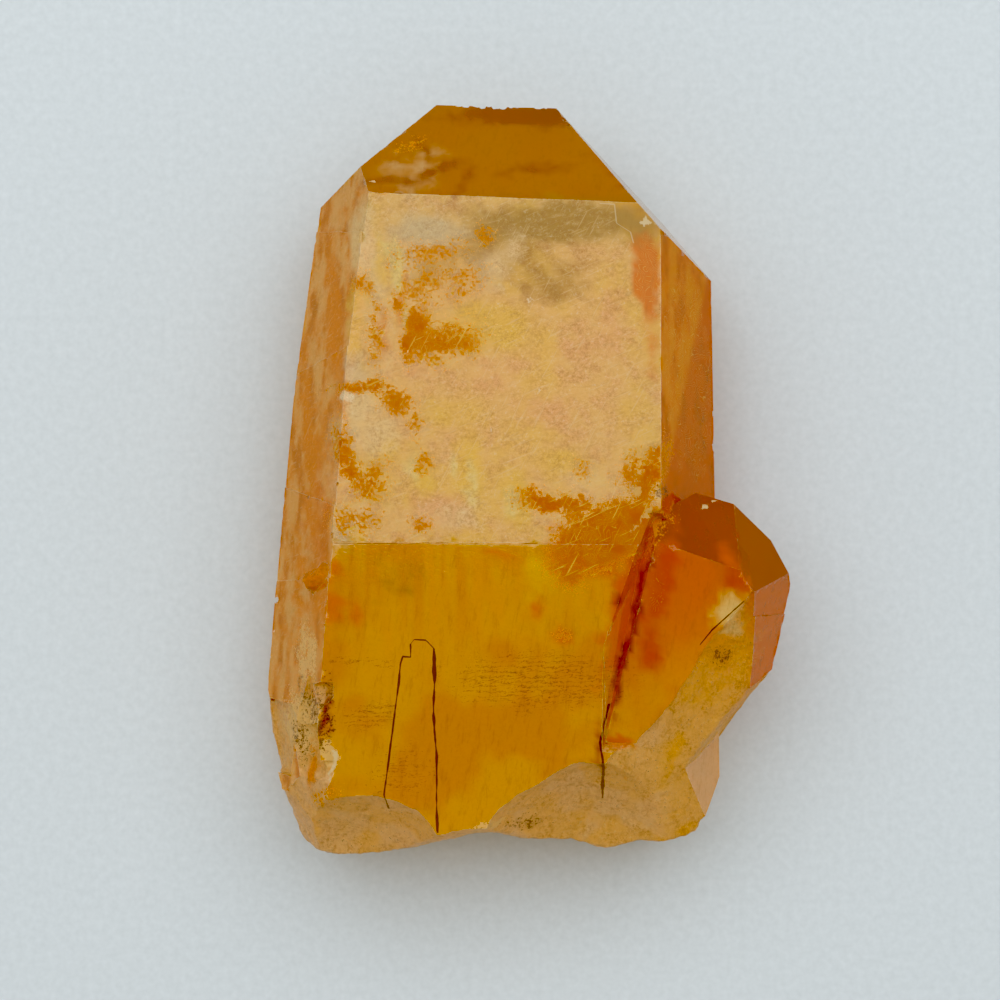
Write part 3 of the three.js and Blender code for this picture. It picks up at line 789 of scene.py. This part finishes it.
def hairlines(tree, here):
    """The iron-stained cracks, thicker and thinner along their length."""
    thin = times(tree, here.blotch, 0.13)
    wide = calculate(tree, "MULTIPLY_ADD", here.blotch, 0.24, -0.03)
    return strongest(tree, [
        crack_line(tree, here.y, here.x, LEFT_LEG, thin),
        crack_line(tree, here.y, here.x, RIGHT_LEG, wide),
        crack_line(tree, here.x, here.y, LINTEL, thin),
        crack_line(tree, here.x, here.y, STEP_TREAD, thin),
        crack_line(tree, here.y, here.x, STEP_RISE, thin),
        crack_line(tree, here.y, here.x, GROOVE_CRACK, wide),
        crack_line(tree, here.x, here.y, SMALL_CRACK, thin),
    ])


def with_cracks(tree, here, colour):
    """Hairline cracks, the wavy lines of healed ones, and dark specks, on the upper side only."""
    waves = calculate(tree, "MULTIPLY_ADD", here.hatch, 4.0, times(tree, here.y, 2.4))
    ripples = times(tree, contour_lines(tree, waves, 0.14), ragged(tree, "ripple", here.fray, 0.9),
                    RIPPLES)
    grit = times(tree, here.dusty, rise(tree, here.grain, 0.94, 0.99))
    soot = ragged(tree, "soot", here.fray, 1.4)
    dark = strongest(tree, [hairlines(tree, here), grit, soot, ripples])
    return lay_over(tree, colour, CRACK_BROWN, times(tree, dark, rise(tree, here.z, 11, 12), CRACKS))


def with_gleams(tree, here, colour):
    """Bright curls, open cracks, painted highlights along the crystal edges, and the stepped line at the
    front face's corner.
    """
    curls = times(tree, contour_lines(tree, times(tree, here.blotch, 12.0), 0.1),
                  ragged(tree, "curl", here.fray, 0.3), rise(tree, here.grain, 0.0, 0.35))
    colour = lay_over(tree, colour, GLINT, times(tree, curls, CURLS))
    # painted highlight: a thin pale line along each edge between crystal faces
    lit_edge = calculate(tree, "MULTIPLY_ADD", here.grain, 0.3, stored(tree, "edge"))
    steps = strongest(tree, [crack_line(tree, here.x, here.y, STEP_TOP, 0.04),
                             crack_line(tree, here.y, here.x, STEP_SIDE, 0.05)])
    gleams = strongest(tree, [
        ragged(tree, "gleam", here.fray, 0.5),
        times(tree, rise(tree, lit_edge, 0.95, 1.1), EDGE_HIGHLIGHTS),
        times(tree, steps, STEPS),
    ])
    return lay_over(tree, colour, CREAM, times(tree, gleams, GLEAM))


def amber_quartz():
    """See-through quartz that tints the light inside it, with its colours and marks laid over."""
    material = bpy.data.materials.new("tangerine_quartz")
    material.use_nodes = True
    tree = material.node_tree
    shader = tree.nodes["Principled BSDF"]
    shader.inputs["IOR"].default_value = 1.544
    shader.inputs["Transmission Weight"].default_value = 0.52
    absorb = tree.nodes.new("ShaderNodeVolumeAbsorption")
    absorb.inputs["Color"].default_value = (0.95, 0.76, 0.02, 1)
    absorb.inputs["Density"].default_value = 90
    wire(tree, absorb.outputs["Volume"], tree.nodes["Material Output"].inputs["Volume"])

    here = read_surface(tree)
    colour = add_node(tree, "Attribute", attribute_name="body").outputs["Color"]
    for lay_marks in (with_grain, with_stains, with_cracks, with_gleams):
        colour = lay_marks(tree, here, colour)
    wire(tree, colour, shader.inputs["Base Color"])

    rough = calculate(tree, "MULTIPLY_ADD", here.rust, RUST_ROUGHNESS, CLEAR_ROUGHNESS)
    rough = calculate(tree, "MULTIPLY_ADD", here.dusty, DUST_ROUGHNESS, rough)
    wire(tree, rough, shader.inputs["Roughness"])

    depth = calculate(tree, "MULTIPLY_ADD", here.broken, BROKEN_PITS, CLEAR_PITS)
    pits = times(tree, noise_at(tree, here.place, 3.0, 1, 0.6), depth)
    bump = add_node(tree, "Bump", {"Height": pits, "Strength": 0.6, "Distance": PIT_BUMP})
    wire(tree, bump.outputs["Normal"], shader.inputs["Normal"])
    return material


quartz.data.materials.append(amber_quartz())
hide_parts("quartz_crystals")
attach(quartz, "root")


# ---------------------------------------------------------------------------
# The table: a sheet of pale matt paper, far wider than the view. The crystals lie
# on it on the flat face at their back.
# ---------------------------------------------------------------------------

PAPER_SHADE = (0.55, 0.605, 0.63, 1)
PAPER_LIGHT = (0.65, 0.705, 0.73, 1)


def matt_paper():
    """Pale paper whose tooth shows as faint, even mottling."""
    material = bpy.data.materials.new("paper")
    material.use_nodes = True
    tree = material.node_tree
    shader = tree.nodes["Principled BSDF"]
    place = add_node(tree, "TexCoord").outputs["Object"]
    tooth = noise_at(tree, place, 1400, 1, 0.7)
    wire(tree, lay_over(tree, PAPER_SHADE, PAPER_LIGHT, tooth), shader.inputs["Base Color"])
    shader.inputs["Roughness"].default_value = 0.9
    return material


bpy.ops.mesh.primitive_plane_add(size=3, location=(0, 0, -0.05 * MM))
table = bpy.context.object
table.name = "paper"
table.data.materials.append(matt_paper())


# ---------------------------------------------------------------------------
# The light: an even pale room, dimmer overhead, and one wide soft box above the
# far side of the table.
# ---------------------------------------------------------------------------

CEILING = (0.21, 0.22, 0.225, 1)
WALLS = (0.84, 0.88, 0.91, 1)
BOX_SIZE = (1.8, 1.1)   # metres
BOX_BRIGHTNESS = 1.90   # radiance, in watts a square metre a steradian

world = bpy.data.worlds.new("room")
world.use_nodes = True
sky = world.node_tree
direction = add_node(sky, "TexCoord").outputs["Generated"]
height = add_node(sky, "SeparateXYZ", {0: direction}).outputs["Z"]
light = lay_over(sky, CEILING, WALLS, rise(sky, height, 0.95, 0.2))
wire(sky, light, sky.nodes["Background"].inputs["Color"])
bpy.context.scene.world = world

box = bpy.data.lights.new("soft_box", "AREA")
box.shape = "RECTANGLE"
box.size, box.size_y = BOX_SIZE
box.energy = BOX_BRIGHTNESS * math.pi * box.size * box.size_y
lamp = bpy.data.objects.new("soft_box", box)
lamp.location = (0, 0.55, 0.85)
bpy.context.scene.collection.objects.link(lamp)


# ---------------------------------------------------------------------------
# The camera: straight above the crystals, with their tip towards the top of its
# frame. Its view leaves hardly any blue in the deepest amber.
# ---------------------------------------------------------------------------

camera = bpy.data.cameras.new("camera")
camera.sensor_width = 36
camera.lens = 86.4
camera.clip_start = 0.01
eye = bpy.data.objects.new("camera", camera)
eye.location = (-0.00241, -0.00183, 0.2184)
bpy.context.scene.collection.objects.link(eye)
bpy.context.scene.camera = eye

view = bpy.context.scene.view_settings
view.view_transform = "Standard"
view.use_curve_mapping = True
view.curve_mapping.black_level = (0, 0.03, 0.075)  # red, green, blue
